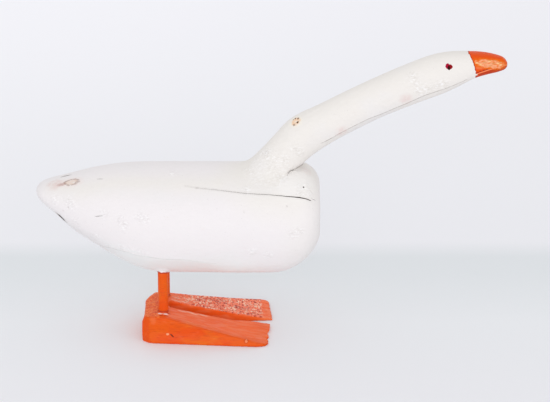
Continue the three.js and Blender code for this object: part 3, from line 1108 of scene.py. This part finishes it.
def neck_masks(neck):
    """Where the paint is dirty, stained or scuffed, below the mouth, and past the beak's edge."""
    points = surface_of(neck)[0]
    add_mask(neck, "warm", np.ones(len(points)))
    add_mask(neck, "grime_and_shade", seam_grime(points))
    near = scuffed(points, NECK, NECK_SCUFFS) + scuffed(points, BODY, SCUFFS)
    add_mask(neck, "scuffed", np.maximum(near, rough_filler(points)))
    add_line(neck, [seen_route(NECK, THROAT_EDGE, 1 * MM), seen_route(NECK, JAW_EDGE, 1 * MM)])
    add_mask(neck, "stain", sum(0.35 * eased(to_spot(points, NECK, p), 0.012, 0.003) for p in NECK_STAINS))
    below = height_along(points, seen_route(NECK, MOUTH, 0.5 * MM)) - points[:, 2]
    add_mask(neck, "mouth", 0.5 + below / LINE_SPAN)
    edge = seen_route(NECK, BEAK_EDGE, 1 * MM)
    front = points[:, 0] - np.interp(-points[:, 2], -edge[:, 2], edge[:, 0])
    add_mask(neck, "beak", 0.5 + front / LINE_SPAN)


def mirrored(place, side):
    """A place or direction as it is for side 1, and mirrored to the goose's left for side -1."""
    return Vector((place.x, place.y * side, place.z))


def worn_beak(finish, side):
    """The side of the beak rubbed pale, on the goose's right for side 1 and on its left for side -1."""
    start, end = (seen(NECK, pixel) for pixel in BEAK_WORN_ENDS)
    place = mirrored(seen(NECK, BEAK_WORN), side)
    turned = turned_to(NECK, place, mirrored(end - start, side))
    reach = ((end - start).length / 2, 5.6 * MM, 8 * MM)
    patch = finish.spot(place, turned, reach, ragged=0.5, grain=4 * MM)
    finish.coat(finish.rise(patch, 1.5, 1.0), YELLOW_ORANGE, 0.7)
    speckled = finish.patches(0.62, 0.44, 1.6 * MM, (3, 1, 1), detail=4, seed=45)
    shown = finish.times(finish.rise(patch, 1.1, 0.85), finish.between(speckled, 0.2, 1.0))
    finish.coat(shown, BEAK_PALE)


def sight_spot(finish, side):
    """The painted eye: two ragged red lobes and a dark core, on the right for side 1, the left for -1."""
    for (pixel, across, up), paint in zip(SIGHT_LOBES, (SIGHT_CRIMSON, SIGHT_RED, SIGHT_BLACK)):
        centre = mirrored(seen(NECK, pixel), side)
        reach = (across * MM, 0.012, up * MM)
        lobe = finish.spot(centre, (0, 0, 0), reach, ragged=0.35, grain=1.6 * MM)
        finish.coat(finish.rise(lobe, 1.15, 0.85), paint)


def mouth_line(finish):
    """The mouth's worn pale line, with darker paint under it."""
    below = finish.mask("mouth")
    jaw = finish.times(finish.rise(below, 0.53, 0.57), finish.swells(0.1, 1.0, 2.6 * MM, seed=57))
    finish.coat(jaw, OLD_RED)
    finish.coat(finish.rise(below, 0.05, 0.0), RED_ORANGE, 0.55)
    add_spots(finish, NECK, [BEAK_LOW], 6, 2, PALE_ORANGE, 0.4, 0.6)
    add_spots(finish, NECK, LIP_DOTS, 1.9, 0.8, OLD_RED, 0.85, 0.4)
    away = finish.math("ABSOLUTE", finish.plus(below, -0.5))
    broken = finish.swells(0.1, 1.6, 2.5 * MM, detail=3, seed=49)
    finish.coat(finish.times(finish.rise(away, 0.045, 0.018), broken), BEAK_PALE, 0.8)


def neck_paint():
    """White paint up to the beak's ragged edge, and orange paint on the beak."""
    finish = Finish("neck_paint")
    white_paint(finish)
    blotched_knot(finish)
    white = finish.colour, finish.roughness, finish.height
    orange_paint(finish)
    mouth_line(finish)
    for side in (1, -1):
        worn_beak(finish, side)
    add_spots(finish, NECK, BEAK_SHADES, 2.6, 0.8, BEAK_TAN, 0.45, 0.6)
    add_spots(finish, NECK, BEAK_FLECKS, 1.9, 0.8, BEAK_FLECK, 0.7, 0.6)
    edge = finish.plus(finish.mask("beak"), finish.swells(-0.05, 0.05, 2 * MM, detail=3, seed=41))
    finish.coat(finish.rise(edge, 0.57, 0.53), OLD_RED, 0.85)
    finish.lay_over(white, finish.rise(edge, 0.494, 0.503))
    add_spots(finish, NECK, BEAK_NICKS, 2.2, 1.1, WARM_WHITE, 0.95)
    for side in (1, -1):
        sight_spot(finish, side)
    return finish.done(gloss=0.1)


def make_neck(carved):
    """Makes the neck and head, and gives back the form of the socket that its foot needs."""
    base = skin(NECK, neck_station, NECK_ROWS, NECK_SIDES, neck_weight)
    base = smoothed(base, NECK_LOW.x, NECK_HIGH.x - 0.05, 0.03, (2, 2), (6, 3))
    plain = base + outward_of(base) * neck_relief(base)[..., None]
    grid, socket = spread_foot(plain, carved)
    neck = add_piece("carved_neck_and_head", grid, neck_paint())
    neck_masks(neck)
    finish_piece(neck, "neck_and_head", 60)
    return socket


# Feet: a wedge of board with a notch between the toes

FEET = form_of("feet")
FEET_LOW, FEET_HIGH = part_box("feet")
FEET_VOXEL = 0.85 * MM
HEEL_CUT_LENGTH = 9.5 * MM
HEEL_CUT_WIDTH = 6 * MM
TOE_RAGGED = 3.4 * MM
RIGHT_SIDE_HEEL = (-24 * MM, -48.3 * MM)
RIGHT_SIDE_SLOPE = 0.0957


def whole_feet():
    """The board with its leg holes filled, as an even fine mesh."""
    feet = add_object("carved_feet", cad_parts["feet"].data.copy())
    plugs = [rod(node, 1 * MM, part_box(node)[0].z - 1 * MM, FEET_HIGH.z) for node in LEGS]
    joined(feet, "UNION", plugs, INSIDE)
    with_modifier(feet, "REMESH", {"mode": "VOXEL", "voxel_size": FEET_VOXEL})
    feet.data.materials.clear()
    feet.data.materials.append(feet_paint())
    return feet


def relaxed(points, edges, rounds):
    """Points drawn towards their neighbours, which rounds the edges of a form."""
    ends = np.concatenate([edges, edges[:, ::-1]])
    count = np.bincount(ends[:, 0], minlength=len(points))[:, None]
    for _ in range(rounds):
        total = [np.bincount(ends[:, 0], points[ends[:, 1], k], len(points)) for k in range(3)]
        points = 0.4 * points + 0.6 * np.stack(total, axis=1) / count
    return points


def clear_of_legs(points):
    """0 at the foot of each leg and 1 away from it."""
    clear = np.ones(len(points))
    for node in LEGS:
        clear *= eased(from_axis(points, node), 9 * MM, 14 * MM)
    return clear


def far_foot(points):
    """1 on the goose's left foot, 0 on its right one and on the heel."""
    return eased(points[:, 1], 2 * MM, 12 * MM) * eased(points[:, 0], -2 * MM, 22 * MM)


def over_heel_cut(points):
    """How far each point stands out over the cut at the heel's right corner, and which way the cut faces."""
    normal = unit(np.array((-HEEL_CUT_WIDTH, -HEEL_CUT_LENGTH, 0)))
    right = points[points[:, 0] < FEET_LOW.x + 12 * MM, 1].min()
    corner = np.array((FEET_LOW.x + HEEL_CUT_LENGTH, right, 0))
    over = (points - corner) @ normal
    over += 1.6 * MM * eased(points[:, 2], 9 * MM, 0) + 0.6 * MM * cloud(points, 9 * MM, seed=51)
    return over, normal


def feet_relief(points, normals):
    """How far grain and wear stand out from the plain form."""
    flat_top = eased(normals[:, 2], 0.75, 0.92)
    side = 1 - np.abs(normals[:, 2])
    relief = 0.3 * MM * cloud(points, 0.03, (1.5, 1, 1), seed=52)
    relief += 0.16 * MM * cloud(points, 2.6 * MM, (14, 1, 1), seed=53) * (flat_top + 0.7 * side)
    relief += 0.32 * MM * cloud(points, 4 * MM, (1.4, 1, 1), seed=54) * flat_top * far_foot(points)
    relief += 0.14 * MM * cloud(points, 4 * MM, (2, 1, 1), seed=55)
    knot = to_spot(points, FEET, SIDE_KNOT)
    relief += 0.7 * MM * hump(knot, 1.6 * MM) - 0.3 * MM * hump(knot - 2.6 * MM, 1 * MM)
    relief += 0.5 * MM * hump(to_spot(points, FEET, SIDE_SLIT_CHIP), 1.4 * MM)
    return relief * (0.25 + 0.75 * clear_of_legs(points))


def tear_toes(points):
    """The points with the end of each toe torn back unevenly, the nearer one more."""
    x, y, z = points.T
    toe = eased(x, FEET_HIGH.x - 16 * MM, FEET_HIGH.x)
    torn = TOE_RAGGED * (0.5 + cloud(points * np.array((0, 1, 1)), 5 * MM, seed=56))
    nearer = eased(y, 0.01, -0.03)
    lip = 2.4 * MM * eased(z, 14 * MM, 2 * MM) * (1 - nearer)
    points[:, 0] += toe * (lip - np.maximum(torn, 0) * (0.2 + 0.8 * nearer))
    return points


def from_right_side(points):
    """How far each point lies from the feet's right side, which slopes outwards towards the toes."""
    return points[:, 1] - RIGHT_SIDE_HEEL[1] + RIGHT_SIDE_SLOPE * (points[:, 0] - RIGHT_SIDE_HEEL[0])


def worn_corners(points):
    """The points with the heel worn back, and its far corner, the right foot's low edge and toe fuller."""
    x, y, z = points.T
    heel = eased(x, FEET_LOW.x + 22 * MM, FEET_LOW.x + 5 * MM)
    middle = eased(y, -44 * MM, -24 * MM) * eased(y, 8 * MM, -2 * MM)
    shifted = points.copy()
    shifted[:, 0] += 2.4 * MM * heel * middle * eased(z, FEET_HIGH.z - 1 * MM, FEET_HIGH.z - 6 * MM)
    corner = eased(x, 4 * MM, -14 * MM) * eased(y, -2 * MM, 12 * MM)
    shifted[:, 0] -= 1.6 * MM * corner
    shifted[:, 1] += 2 * MM * corner
    low_edge = eased(from_right_side(points), 10 * MM, 0) * eased(z, 16 * MM, 0)
    shifted[:, 1] -= 3.5 * MM * low_edge * eased(x, FEET_HIGH.x - 4 * MM, FEET_HIGH.x - 24 * MM)
    inner = eased(x, 0.085, 0.12) * eased(y, -40 * MM, -4 * MM) * (y < 12 * MM)
    shifted[:, 1] += 4.5 * MM * inner
    shifted[:, 2] += 1.5 * MM * inner * (z > 1 * MM)
    return shifted


def feet_masks(feet, worn_off, shaded_facet):
    """Where the paint is faded and brightened by painted light, rubbed through, or redder as painted shade
    on the heel's cut, and where it is darker along the edges.
    """
    points, normals = surface_of(feet)
    x, y, z = points.T
    flat_top = eased(normals[:, 2], 0.55, 0.92)
    inner = eased(x, 2 * MM, 12 * MM) * (np.abs(y) < 32 * MM) * (1 - flat_top)
    heel = eased(x, 0, -6 * MM)
    toes = eased(x, FEET_HIGH.x - 30 * MM, FEET_HIGH.x - 10 * MM) * (y < 12 * MM)
    faded = 0.4 + 0.6 * eased(from_right_side(points), 1 * MM, 16 * MM)
    faded = faded * (1 - 0.95 * heel) * (1 - 0.35 * toes)
    # Upper faces get faded paint that is also lit brighter as painted light, and the notch's inner faces, in
    # shade, are lightened by the same painted light.
    add_mask(feet, "top", np.maximum(flat_top * faded, 0.9 * inner))
    smooth_toe = 0.15 + 0.85 * eased(x, FEET_HIGH.x - 9 * MM, FEET_HIGH.x - 15 * MM)
    flecked = 0.3 + 0.7 * eased(x, 6 * MM, 44 * MM)
    add_mask(feet, "worn", flat_top * far_foot(points) * smooth_toe * flecked)
    add_mask(feet, "heel", flat_top * heel)
    # Painted shade: the heel's cut facet, turned away from the light, is made redder and darker.
    add_mask(feet, "shaded_facet", shaded_facet)
    # Darker along the rounded edges, and in a thin ring round each leg on the board.
    grime_and_shade = 0.35 * eased(worn_off, 0.1 * MM, 0.4 * MM)
    for node in LEGS:
        grime_and_shade += 0.7 * hump(from_axis(points, node) - 8.5 * MM, 0.9 * MM) * (z > FEET_HIGH.z - 2 * MM)
    add_mask(feet, "grime_and_shade", grime_and_shade)


def make_feet():
    """The foot board, with its edges rounded, its corners worn and its toes torn."""
    feet = whole_feet()
    points = surface_of(feet)[0]
    over, cut_normal = over_heel_cut(points)
    points = points - cut_normal * np.maximum(over, 0)[:, None]
    edges = np.zeros(len(feet.data.edges) * 2, dtype=int)
    feet.data.edges.foreach_get("vertices", edges)
    softer = relaxed(points, edges.reshape(-1, 2), 5)
    move_points(feet, softer)
    normals = surface_of(feet)[1]
    worn_off = ((points - softer) * normals).sum(axis=1)
    softer = tear_toes(worn_corners(softer + normals * feet_relief(softer, normals)[:, None]))
    softer[:, 2] = np.maximum(softer[:, 2], 0)
    move_points(feet, softer)
    feet_masks(feet, worn_off, eased(over, -0.5 * MM, 0.5 * MM))
    holes = [rod(node, LEG_ROOM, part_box(node)[0].z - 0.4 * MM, FEET_HIGH.z + 0.01) for node in LEGS]
    slit = wedge(FEET, SIDE_SLIT, (0.25, 0.7, 0.7, 0.25), (1, 3, 1))
    joined(feet, "DIFFERENCE", holes + [slit], INSIDE)
    finish_piece(feet, "feet")


def rubbed_through(finish):
    """Paint rubbed down to pink and dark red flecks: its colour."""
    patches = finish.swells(-0.13, 0.13, 0.013, (2, 1, 1), seed=67)
    mottle = finish.plus(finish.cloud(2.6 * MM, (1, 1.6, 1), roughness=0.6, seed=25), patches)
    flecks = finish.plus(finish.cloud(2.8 * MM, (1, 1.6, 1), seed=35), patches)
    colour = finish.mix(finish.rise(mottle, 0.42, 0.46), WORN_RED, WORN_ORANGE)
    return finish.mix(finish.rise(flecks, 0.56, 0.60), colour, WORN_PALE)


def feet_paint():
    """Orange paint, faded and brightened by painted light on the upper faces, and rubbed through on the left
    foot.
    """
    finish = Finish("feet_paint")
    orange_paint(finish)
    # Faded paint, and painted light brightening the upper faces and the notch's shaded inner faces.
    finish.coat(finish.mask("top"), FADED_AND_LIT_ORANGE, 0.85)
    # Painted shade on the heel's cut facet.
    finish.coat(finish.mask("shaded_facet"), FACET_SHADE_AND_FLECK_RED, 0.3)
    finish.coat(finish.patches(0.42, 0.66, 7 * MM, (4, 1, 1), detail=4, seed=61), PALE_ORANGE, 0.42, "top")
    finish.coat(finish.patches(0.46, 0.58, 3.4 * MM, detail=3, seed=59), HEEL_ORANGE, 0.5, "heel")
    flecks = finish.cloud(2.6 * MM, seed=69)
    finish.coat(finish.rise(flecks, 0.54, 0.60), HEEL_FLECK, 0.7, "heel")
    finish.coat(finish.rise(flecks, 0.42, 0.36), FACET_SHADE_AND_FLECK_RED, 0.6, "heel")
    broken = finish.patches(0.26, 0.46, 9 * MM, (2, 1, 1), detail=3, seed=37)
    worn = finish.times(finish.mask("worn"), broken)
    finish.coat(worn, rubbed_through(finish))
    for pixels, across, up, paint, strength, soft in (
        (TOP_STREAKS, 6, 1.7, WORN_PALE, 0.6, 0.6),
        (TOP_DARKS, 6, 4, WORN_RED, 0.35, 0.6),
        (TOP_LIGHTS, 4.5, 2.5, WORN_ORANGE, 0.5, 0.6),
        ([HEEL_LIGHT], 3.5, 5, PALE_ORANGE, 0.22, 0.7),
        # Painted shadows at the foot of the near leg and along the board's edge below it.
        (BOARD_SHADOWS, 3, 0.9, OLD_RED, 0.75, 0.4),
        # Pale spots in front of the near leg: partly chipped paint, partly painted highlights on the glossy
        # bead.
        (BOARD_CHIPS_AND_GLINTS, 3.2, 2.7, CHIP_AND_GLINT_PINK, 1.0, 0.15),
        ([SIDE_KNOT], 3.2, 3.2, OLD_RED, 0.3, 0.15),
        ([SIDE_KNOT], 1.7, 1.7, PALE_ORANGE, 0.8, 0.15),
        ([SIDE_SLIT_CHIP], 1.9, 1.4, BEAK_PALE, 0.9, 0.15),
    ):
        add_spots(finish, FEET, pixels, across, up, paint, strength, soft)
    finish.roughness = finish.plus(finish.roughness, finish.times(worn, 0.15))
    lumps = finish.swells(0, 0.5 * MM, 2.5 * MM, (1.3, 1, 1), detail=3, roughness=0.7, seed=25)
    finish.height = finish.plus(finish.height, finish.times(worn, lumps))
    return finish.done(gloss=0.15)


# Legs: two dowels

BEAD_HEIGHT = 2.4 * MM
BEAD_WIDTH = 1.7 * MM
LAP_LENGTH = 2.6 * MM


def leg_skin(node):
    """The dowel's surface, with its grain and the bead of paint where it enters the board."""
    low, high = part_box(node)
    board = FEET_HIGH.z
    heights = np.concatenate([
        np.linspace(low.z, board - 0.05 * MM, 30),
        np.linspace(board + 0.05 * MM, board + BEAD_HEIGHT, 16),
        np.linspace(board + BEAD_HEIGHT + 0.4 * MM, high.z, 130),
    ])
    grid = rod_rings(node, LEG_PAINT, heights)
    up = (grid[..., 2] - board) / BEAD_HEIGHT
    bead = BEAD_WIDTH * np.clip(1 - up, 0, 1) ** 2 * (up > 0) * (0.75 + 0.5 * cloud(grid, 4 * MM, seed=61))
    shown = (grid[..., 2] > board) * (grid[..., 2] < BODY_LOW.z)
    grain = 0.14 * MM * shown * cloud(grid, 2 * MM, (1, 1, 12), seed=62)
    outwards = unit((grid - np.array((*axis_of(node)[0], 0))) * np.array((1, 1, 0)))
    return grid + outwards * (bead + grain)[..., None]


def below_body(points):
    """How far each point of a leg lies below the body's underside."""
    grounds = [BODY.ray_cast(Vector((p[0], p[1], 0)), UP)[0] for p in points]
    return np.array([ground.z for ground in grounds]) - points[:, 2]


def make_leg(node):
    leg = add_piece("turned_" + node, leg_skin(node), bpy.data.materials.get("leg_paint") or leg_paint())
    points = surface_of(leg)[0]
    below = below_body(points)
    lap = LAP_LENGTH + 0.9 * MM * cloud(points, 4 * MM, seed=63)
    lap += 2 * MM * hump(points[:, 0] - axis_of(node)[0][0] + 0.5 * MM, 4 * MM)
    add_mask(leg, "lap", eased(below - lap, 0.5 * MM, -0.5 * MM))
    # Painted shadow on the bead where the leg meets the board, and a dark line just below the white lap's
    # edge.
    grime_and_shade = 0.8 * hump(points[:, 2] - FEET_HIGH.z - 0.7 * BEAD_HEIGHT, 1.3 * MM)
    add_mask(leg, "grime_and_shade", grime_and_shade + hump(below - lap - 0.9 * MM, 0.8 * MM))
    finish_piece(leg, node)


def leg_paint():
    """Orange paint, with the body's white lapping over the top of the leg."""
    finish = Finish("leg_paint")
    orange_paint(finish)
    finish.coat(finish.mask("lap"), WHITE)
    return finish.done(gloss=0.15)


# Stage

FLOOR_REACH = 6.0
FLOOR_PAINTED_SHADE = [
    (-0.30, (0.874, 0.870, 0.900)),
    (0.02, (0.866, 0.880, 0.903)),
    (0.20, (0.797, 0.824, 0.844)),
    (0.26, (0.792, 0.818, 0.838)),
    (0.32, (0.895, 0.895, 0.925)),
    (0.80, (0.915, 0.915, 0.945)),
    (1.60, (0.955, 0.95, 0.985)),
]
SKY_COLOUR = (0.98, 0.985, 1.0, 1.0)
SKY_STRENGTH = 0.87


def floor_finish():
    """Pale paper with painted shade: greyest just behind the goose and nearly white far behind it."""
    finish = Finish("pale_floor_painted_shade")
    depth = finish.add("ShaderNodeSeparateXYZ", {0: finish.place}).outputs["Y"]
    low = FLOOR_PAINTED_SHADE[0][0]
    span = FLOOR_PAINTED_SHADE[-1][0] - low
    share = finish.times(finish.plus(depth, -low), 1 / span)
    stops = [((place - low) / span, shade, 1.0) for place, shade in FLOOR_PAINTED_SHADE]
    # The floor's colour carries painted shade, darkest in a band just behind the goose.
    finish.colour = finish.ramp(share, stops)[0]
    finish.roughness = 0.8
    return finish.done(gloss=0.1)


def make_stage():
    """The floor, and the sky that lights all sides."""
    mesh = bpy.data.meshes.new("floor")
    corners = [(FLOOR_REACH * x, FLOOR_REACH * y, 0) for x, y in ((-1, -1), (1, -1), (1, 1), (-1, 1))]
    mesh.from_pydata(corners, [], [(0, 1, 2, 3)])
    floor = add_object("floor", mesh)
    floor.data.materials.append(floor_finish())
    world = bpy.data.worlds.new("studio")
    bpy.context.scene.world = world
    world.use_nodes = True
    sky = world.node_tree.nodes["Background"]
    sky.inputs["Color"].default_value = SKY_COLOUR
    sky.inputs["Strength"].default_value = SKY_STRENGTH


def add_light(name, power, size, aimed_at, azimuth, elevation, distance):
    """A soft square light. The azimuth turns from the camera's side towards the beak."""
    lamp = bpy.data.lights.new(name, "AREA")
    lamp.shape = "SQUARE"
    lamp.size = size
    lamp.energy = power
    light = add_object(name, lamp)
    around = math.radians(azimuth)
    high = math.radians(elevation)
    level = math.cos(high)
    towards = Vector((math.sin(around) * level, -math.cos(around) * level, math.sin(high)))
    light.location = aimed_at + towards * distance
    light.rotation_euler = towards.to_track_quat("Z", "Y").to_euler()


def make_camera():
    lens = bpy.data.cameras.new("camera")
    lens.sensor_width = SENSOR_MM
    lens.lens = FOCAL_PIXELS * SENSOR_MM / PHOTO_WIDTH
    camera = add_object("camera", lens)
    camera.location = EYE
    camera.rotation_euler = (math.pi / 2 - LOOKING_DOWN, 0, 0)
    bpy.context.scene.camera = camera


bpy.context.scene.view_settings.view_transform = "Standard"
make_camera()
make_stage()
add_light("key", power=41, size=2.2, aimed_at=LOOKED_AT, azimuth=-2, elevation=9, distance=3.9)
add_light("backdrop", power=1.5, size=1.2, aimed_at=FAR_FLOOR, azimuth=0, elevation=90, distance=1.2)
skin_of_body = carved_skin()
make_body(skin_of_body, make_neck(skin_of_body))
make_feet()
for leg in LEGS:
    make_leg(leg)
